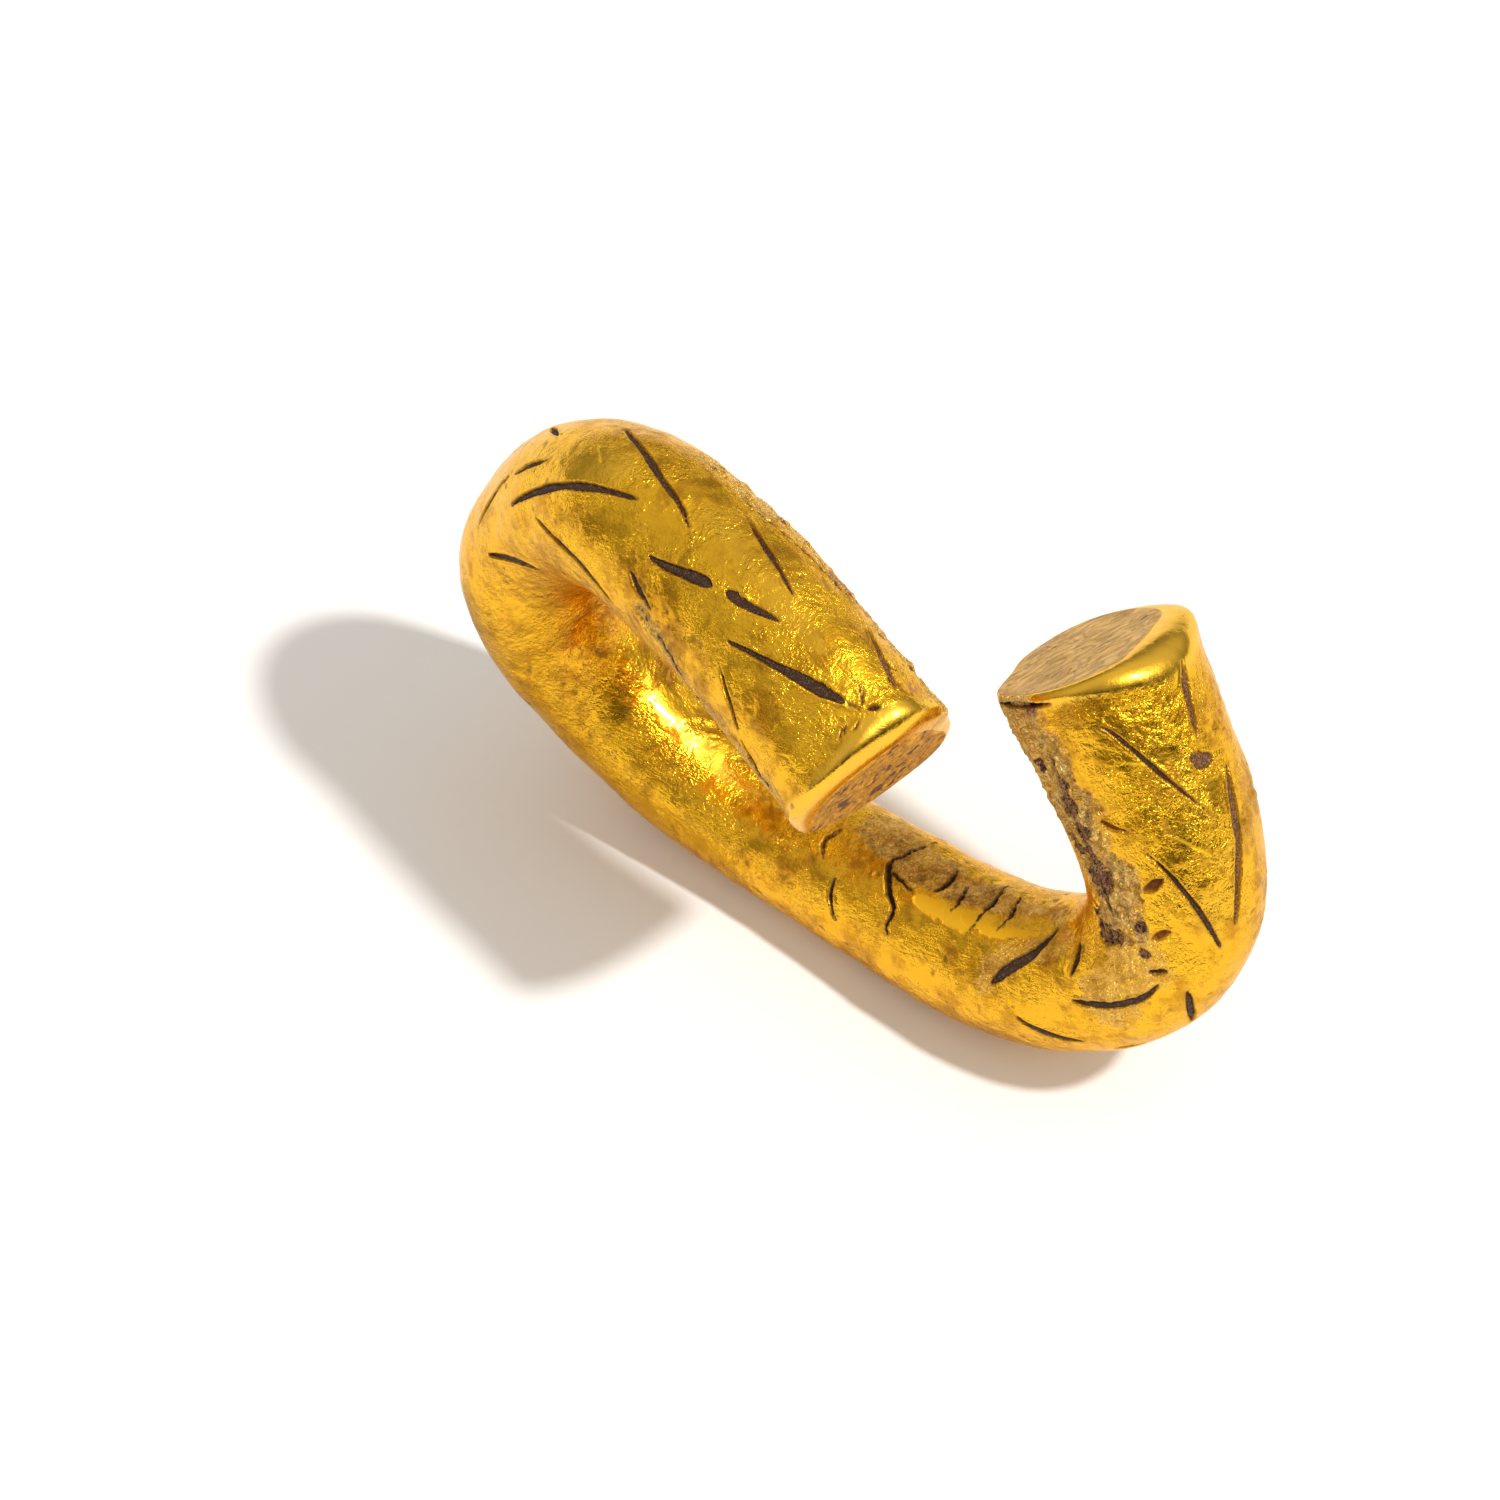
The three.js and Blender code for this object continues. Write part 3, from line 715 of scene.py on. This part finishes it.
def rim_inset(sizes, place, turn, back):
    """How far a rounded rim lies inside the bar, back metres behind the face, how far its edge does, and its run.
    A quarter of a superellipse whose reach, run and squareness follow the table round the bar."""
    drop, run, square = np.moveaxis(around(turn, RIM_LEFT if place < 0.5 else RIM_RIGHT), -1, 0)
    drop, run = drop * MM * sizes.rim_share, run * sizes.rim_length
    inward = 1 - np.clip(back / run, 0, 1)
    return drop * (1 - (1 - inward**square) ** (1 / square)), drop, run


def opening_inset(drop):
    """How far the opening behind a rim lies inside the bar, from how far the rim's edge does."""
    return np.maximum(drop + OPENING_STEP * MM, OPENING_LEAST * MM)


def skin_rows(bar, sizes, start, end, turns):
    """Places, insets and relief shares of the mesh's rings from start to end, with rim and bore at the bar's ends."""
    rim, bore = 1.1 * sizes.rim_length, sizes.plate_thickness + 0.03 * MM
    low, high = start + (start == 0) * rim / bar.length, end - (end == 1) * rim / bar.length
    places = np.linspace(low, high, round((end - start) * bar.length / sizes.cell))
    insets, weights = np.zeros((len(places), len(turns))), np.ones(len(places))
    back = rim * (1 - np.sin(np.linspace(0, math.pi / 2, 33)[1:]))
    depths = np.concatenate([back, [0, 0, bore / 2, bore]]) / bar.length
    end_weights = np.concatenate([smooth(back, 0, 0.3 * MM) * 0.7, np.zeros(4)])
    for at, edge in ((0, start), (1, end)):
        if edge != at:
            continue
        rounded, drop, _ = rim_inset(sizes, at, turns[None, :], back[:, None])
        inner = opening_inset(drop[0])
        tail = np.vstack([rounded, (drop[0] + inner) / 2, inner, inner, inner])
        pairs = zip((places, insets, weights), (1 - depths if at else depths, tail, end_weights))
        places, insets, weights = (np.concatenate([main, rows] if at else [rows[::-1], main]) for main, rows in pairs)
    return places, insets, weights


def skin_relief(bar, sizes, points, place, turn, weight):
    """Height of the skin over the plain bar, and the marks that its finish reads. All lengths here are in mm.
    The sum of uneven hammering, rough bands, slots with raised lips, cracks, a scraped patch, necks and pits."""
    height, jag, rough = (layers(points, rows) for rows in (HAMMERING, JAGGED, ROUGHNESS))
    drift = grain(points, 0.7, 8)
    ridges = ridged(points, 0.32, 13)
    marks = {key: np.zeros(place.shape) for key in MARKS}

    def add_mark(key, mask):
        marks[key] = np.maximum(marks[key], mask)

    for half, strength, path in ROUGH_BANDS:
        far, width, there = bar.near(points, path, np.full(len(BAND_SHARES), half))
        edge = far + (0.5 * drift + 0.35 * jag) * min(half, 0.8)
        add_mark("band", strength * (1 - smooth(edge, width * 0.7, width * 1.02)) * there)
    # Patches of stain, blush and tarnish; the tarnish ones are partly painted shade
    for key, patches in PATCHES.items():
        spread, inner = (0.55, 0.0) if key == "tarnish_and_shade" else (0.3, 0.4)
        for at, degrees, radius in patches:
            middle = bar.surface(at, math.radians(degrees))[0]
            far = np.linalg.norm(points - middle, axis=-1) / MM + (spread * drift + 0.25 * jag) * radius
            add_mark(key, 1 - smooth(far, inner * radius, radius))
    uneven = np.clip(marks["band"] + 0.5 * marks["stain"], 0, 1)
    height = height + uneven * (0.1 * rough + 0.065 * ridges - 0.06) - 0.05 * marks["stain"]
    height = height + 0.03 * marks["tarnish_and_shade"] * (rough + ridges)
    strip, deep = 0.5 * sizes.inlay_width / MM, sizes.groove_depth / MM
    cuts = [(strip * share, start, end, deep, 0.4, path) for _, share, start, end, path in [*STRIPS, SEAM]]
    cuts += [(0.5 * width, 0.6, 0.6, depth, rust, path) for width, depth, rust, path in CRACKS]
    for half, start, end, depth, rust, path in cuts:
        crack = depth < deep
        far, width, there = bar.near(points, path, half * taper(SLOT_SHARES, start, end))
        gap = np.abs(far + (0.1 if crack else 0.06) * jag)
        width = width * (1 + 0.75 * jag + 0.4 * drift) + 0.006
        inside = (1 - smooth(gap, width - WALL * 0.4, width + WALL * 0.6)) * there
        height = height - depth * inside * smooth(width, 0, 0.07)
        height = height + LIP_HEIGHT * bell((gap - width - LIP_AWAY) / LIP_REACH) * (1 - inside) * there
        around_cut = np.exp(-np.maximum(gap - width, 0) / SOOT_REACH) * there
        add_mark("cut", inside)
        add_mark("soot", 0.55 * around_cut)
        add_mark("rust", rust * smooth(around_cut if crack else around_cut * (1 - inside), 0.05, 0.4))
    for half, path in SCRAPED:
        far, width, there = bar.near(points, path, half * (0.75 + 0.5 * BAND_SHARES))
        mask = 1 - smooth(far + (0.45 * drift + 0.35 * jag) * width, width - 0.04, width + 0.02)
        mask = mask * there * (1 - marks["cut"])
        add_mark("fresh", mask)
        height = height * (1 - 0.6 * mask) - min(0.05, 0.3 * half) * mask
    for half, strength, path in POLISHED:
        far, width, there = bar.near(points, path, half * taper(BAND_SHARES, 0.3, 0.3))
        mask = (1 - smooth(far + 0.3 * drift * width, width * 0.2, width * 1.1)) * there * strength
        add_mark("rim", mask * (1 - marks["cut"]))
    back = np.minimum(place, 1 - place) * bar.length
    if back.min() < 3 * MM:
        behind = (back - rim_inset(sizes, place.mean(), turn, back)[2]) / MM
        add_mark("rim", 1 - smooth(behind + 0.12 * drift, 0, 0.25))
        neck = bell((behind - 0.22) / 0.36) * bell(turned_from(306, turn) / 0.55)
        height = height - 0.07 * neck - 0.03 * bell((behind - 0.5) / 0.4)
        # Painted shade: the neck crease is darkened on its camera side through the tarnish mark
        marks["tarnish_and_shade"] = np.clip(marks["tarnish_and_shade"] + 0.7 * neck, 0, 1)
    pits = np.clip(grain(points, 0.32, 12) - 0.62, 0, 1) / 0.38
    height = height - 0.03 * pits * (1 - marks["rim"])
    add_mark("soot", smooth(pits, 0.25, 0.7) * 0.6)
    return height * MM * weight, marks


class HAIRRING_OT_skin(bpy.types.Operator):
    """Makes the gold skin of the ring in five lengths, with its slots, cracks and worn bands"""

    bl_idname = "hair_ring.skin"
    bl_label = "Gold skin"

    # Name, first and last place, and the turn of the streaks
    LENGTHS = [
        ("skin_left_arm", 0.0, 0.2, (0.0, 0.5, 2.3)),
        ("skin_left_bend", 0.2, 0.41, (0.0, 0.9, 2.4)),
        ("skin_back_left", 0.41, 0.61, (0.0, 0.1, -0.7)),
        ("skin_back_right", 0.61, 0.81, (0.0, -0.3, -0.6)),
        ("skin_right_arm", 0.81, 1.0, (0.3, 1.2, 0.3)),
    ]

    def execute(self, context):
        sizes, look, _ = settings()
        bar = Bar(sizes)
        step = sizes.cell / bar.length
        turns = np.linspace(0, 2 * math.pi, round(2 * math.pi * bar.radius / sizes.cell), endpoint=False)
        for name, start, end, streak in self.LENGTHS:
            places, insets, weights = skin_rows(bar, sizes, start, end, turns)
            # One more ring at each inner end makes the normals of neighbouring lengths agree
            before, after, count = int(start > 0), int(end < 1), len(places)
            places = np.concatenate([places[:before] - step, places, places[count - after:] + step])
            insets = np.pad(insets, ((before, after), (0, 0)))
            weights = np.pad(weights, (before, after), constant_values=1.0)
            place, turn, weight = np.broadcast_arrays(places[:, None], turns, weights[:, None])
            base, normal, _ = bar.surface(place, turn, insets)
            height, marks = skin_relief(bar, sizes, bar.surface(place, turn)[0], place, turn, weight)
            points = base + normal * height[..., None]
            points[..., 2] = np.maximum(points[..., 2], 0)
            faced = unit(np.cross(np.roll(points, -1, 1) - np.roll(points, 1, 1), np.gradient(points, axis=0)))
            keep = slice(before, before + count)
            points, faced, normal = points[keep], faced[keep], normal[keep]
            if (faced[count // 2] * normal[count // 2]).sum() < 0:
                faced = -faced
            middles = points.mean(1)
            ends = unit(middles[[0, -1]] - middles[[1, -2]])
            add_piece(
                name, "gold_sleeve", points, gold_finish(name, look, streak),
                {key: mask[keep] for key, mask in marks.items()}, np.vstack([faced.reshape(-1, 3), ends]),
            )
        return {"FINISHED"}


def add_strip(bar, sizes, row, finish, seed):
    """A closed strip in its slot: an oval section along a path on the bar, with a gritty uneven top."""
    name, share, start, end, path = row
    shares = np.linspace(0, 1, max(24, 30 * (len(path) - 1)))
    line, normal, _ = bar.path(path, shares)
    across = unit(np.cross(normal, np.gradient(line, axis=0)))
    half = 0.65 * sizes.inlay_width * share * taper(np.clip(shares, 0.004, 0.996), start, end) + 0.02 * MM
    thick = (sizes.groove_depth + 0.05 * MM - sizes.inlay_recess) / 2
    angle = np.linspace(0, 2 * math.pi, SECTION_POINTS, endpoint=False)
    wide, tall = (np.sign(v) * np.abs(v) ** 0.6 for v in (np.cos(angle), np.sin(angle)))
    points = line[:, None] + across[:, None] * (half[:, None] * wide)[..., None]
    points = points + normal[:, None] * (thick * tall - sizes.inlay_recess - thick)[:, None]
    lump = layers(points, [(0.03, 0.16, seed), (0.02, 0.08, seed + 1)]) * (tall > 0.1) * MM
    add_piece(name + "_fill", name, points + normal[:, None] * lump[..., None], finish)


class HAIRRING_OT_inlays(bpy.types.Operator):
    """Makes the dark strips that lie in the slots of the skin"""

    bl_idname = "hair_ring.inlays"
    bl_label = "Inlaid strips"

    RUSTY = ("inlay_right_02", "inlay_right_03", "inlay_right_04", "inlay_left_15")

    def execute(self, context):
        sizes, look, _ = settings()
        bar = Bar(sizes)
        plain = grit_finish("inlay", look, look.inlay, look.inlay_pale, 0.53)
        rusty = grit_finish("inlay_rusty", look, look.dirt, look.inlay_rust, 0.46)
        for number, row in enumerate(STRIPS):
            add_strip(bar, sizes, row, rusty if row[0] in self.RUSTY else plain, 40 + number)
        return {"FINISHED"}


class HAIRRING_OT_seam(bpy.types.Operator):
    """Makes the corroded strip in the open seam of the right arm"""

    bl_idname = "hair_ring.seam"
    bl_label = "Seam strip"

    def execute(self, context):
        sizes, look, _ = settings()
        finish = grit_finish("seam", look, look.purple, look.film_deep, 0.45)
        add_strip(Bar(sizes), sizes, SEAM, finish, 90)
        return {"FINISHED"}


class HAIRRING_OT_end_plates(bpy.types.Operator):
    """Makes the matt plates that close the two ends inside the bright rims"""

    bl_idname = "hair_ring.end_plates"
    bl_label = "End plates"

    # Name, place, turn of the streaks, two tones and how strongly it is stained
    PLATES = [
        ("end_plate_left", 0.0, (0.2, 0.5, 2.3), ("face_left", "face_left_deep"), 0.85),
        ("end_plate_right", 1.0, (0.0, 0.0, 0.55), ("face", "face_deep"), 0.2),
    ]

    def execute(self, context):
        sizes, look, _ = settings()
        bar = Bar(sizes)
        turns = np.linspace(0, 2 * math.pi, FACE_COLUMNS, endpoint=False)
        share = np.linspace(0.004, 1, FACE_RINGS)[:, None]
        for name, place, streak, (base, deep), stained in self.PLATES:
            drop = rim_inset(sizes, place, turns, 0.0)[1]
            rim, _, along = bar.surface(place, turns, drop + 0.012 * MM)
            outward = along[0] if place else -along[0]
            centre = rim.mean(0)
            face = centre + (rim - centre) * share[..., None]
            relief = layers(face, FACE_RELIEF) + 0.02 * ridged(face, 0.8, 24)
            relief = relief * (1 - smooth(share, 0.8, 0.98)) + 0.004
            face = face + outward * relief[..., None] * MM
            wall = bar.surface(place, turns, opening_inset(drop))[0]
            back = wall - outward * np.array([0.02, 1.0])[:, None, None] * sizes.plate_thickness
            inwards = (1 - share) * np.linalg.norm(rim - centre, axis=1) + layers(face, FACE_EDGE) * MM
            edge = (1 - smooth(inwards, 0.02 * MM, 0.16 * MM)) * smooth(drop, 0.2 * MM, 0.5 * MM)
            add_piece(
                name + "_face", name, np.concatenate([face, back]),
                face_finish(name, look, streak, getattr(look, base), getattr(look, deep), stained),
                {"edge": np.concatenate([edge, np.zeros((2, FACE_COLUMNS))])},
            )
        return {"FINISHED"}


class HAIRRING_OT_core(bpy.types.Operator):
    """Gives the hidden core bar its finish"""

    bl_idname = "hair_ring.core"
    bl_label = "Core bar"

    def execute(self, context):
        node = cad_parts["core_bar"]
        node.data.materials.clear()
        node.data.materials.append(core_finish("core", settings()[1]))
        return {"FINISHED"}


class HAIRRING_OT_studio(bpy.types.Operator):
    """Makes the pale floor, the even light, the key lamp and the camera"""

    bl_idname = "hair_ring.studio"
    bl_label = "Studio"

    def execute(self, context):
        studio = settings()[2]
        scene = context.scene
        mesh = bpy.data.meshes.new("floor")
        corners = [(x * FLOOR_HALF, y * FLOOR_HALF, 0) for x, y in ((-1, -1), (1, -1), (1, 1), (-1, 1))]
        mesh.from_pydata(corners, [], [(0, 1, 2, 3)])
        floor = add_object("floor", mesh)
        floor.location.z = -FLOOR_DROP
        f = Finish("floor")
        plain = f.node("ShaderNodeBsdfDiffuse", {}, {"Color": studio.floor_color})
        shown = f.node("ShaderNodeBsdfDiffuse", {}, {"Color": (1.0, 0.995, 0.985)})
        mixed = f.node("ShaderNodeMixShader", {}, {0: f.ray("Camera", "Glossy", "Transmission"), 1: plain, 2: shown})
        f.feed(f.output.inputs["Surface"], mixed)
        mesh.materials.append(f.material)

        world = bpy.data.worlds.new("studio")
        scene.world = world
        world.use_nodes = True
        g = Graph(world.node_tree)
        toward = g.node("ShaderNodeTexCoord", {}, {}, "Generated")
        tent = TENT_LEAST
        for direction, start, end, strength in [*TENT_GLOWS, (*TENT_FRONT, -studio.front_gap)]:
            tent = tent + g.facing(toward, direction).step(start, end) * strength
        light, glossy, white = (
            g.node("ShaderNodeBackground", {}, {"Color": color, "Strength": strength})
            for color, strength in (((1.0, 0.96, 0.91), studio.sky), ((1.0, 0.98, 0.94), tent), ((1.0, 1.0, 1.0), 1.0))
        )
        lit = g.node("ShaderNodeMixShader", {}, {0: g.ray("Glossy", "Transmission"), 1: light, 2: glossy})
        seen = g.node("ShaderNodeMixShader", {}, {0: g.ray("Camera"), 1: lit, 2: white})
        g.feed(g.tree.nodes["World Output"].inputs["Surface"], seen)

        lamp = bpy.data.lights.new("key_lamp", "SUN")
        lamp.energy, lamp.angle, lamp.color = studio.lamp, studio.lamp_angle, (1.0, 0.99, 0.97)
        add_object("key_lamp", lamp).rotation_euler = (0.0, math.pi / 2 - LAMP_ELEVATION, LAMP_AZIMUTH)

        view = bpy.data.cameras.new("camera")
        view.lens, view.sensor_width, view.clip_start, view.clip_end = LENS, SENSOR_WIDTH, 0.01, 10.0
        scene.camera = add_object("camera", view)
        scene.camera.location, scene.camera.rotation_euler = CAMERA_PLACE, (CAMERA_TILT, 0.0, 0.0)
        scene.view_settings.view_transform = "Standard"
        return {"FINISHED"}


class HAIRRING_PT_panel(bpy.types.Panel):
    """Lists the ring's pieces and settings in the sidebar"""

    bl_idname = "HAIRRING_PT_panel"
    bl_label = "Hair Ring"
    bl_space_type = "VIEW_3D"
    bl_region_type = "UI"
    bl_category = "Hair Ring"

    def draw(self, context):
        for piece in PIECES:
            self.layout.operator(piece.bl_idname)
        for key in GROUPS:
            group = getattr(context.scene, key)
            box = self.layout.box()
            for name in type(group).__annotations__:
                box.prop(group, name)


GROUPS = {
    "hair_ring_sizes": HairRingSizes,
    "hair_ring_colors": HairRingColors,
    "hair_ring_studio": HairRingStudio,
}
PIECES = [
    HAIRRING_OT_studio, HAIRRING_OT_skin, HAIRRING_OT_inlays,
    HAIRRING_OT_seam, HAIRRING_OT_end_plates, HAIRRING_OT_core,
]


def register():
    for group in [*GROUPS.values(), *PIECES, HAIRRING_PT_panel]:
        bpy.utils.register_class(group)
    for key, group in GROUPS.items():
        setattr(bpy.types.Scene, key, bpy.props.PointerProperty(type=group))


def unregister():
    for key in GROUPS:
        delattr(bpy.types.Scene, key)
    for group in [HAIRRING_PT_panel, *reversed(PIECES), *reversed(GROUPS.values())]:
        bpy.utils.unregister_class(group)


def main():
    register()
    bpy.ops.hair_ring.studio()
    bpy.ops.hair_ring.skin()
    bpy.ops.hair_ring.inlays()
    bpy.ops.hair_ring.seam()
    bpy.ops.hair_ring.end_plates()
    bpy.ops.hair_ring.core()
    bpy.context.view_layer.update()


if __name__ == "__main__":
    main()
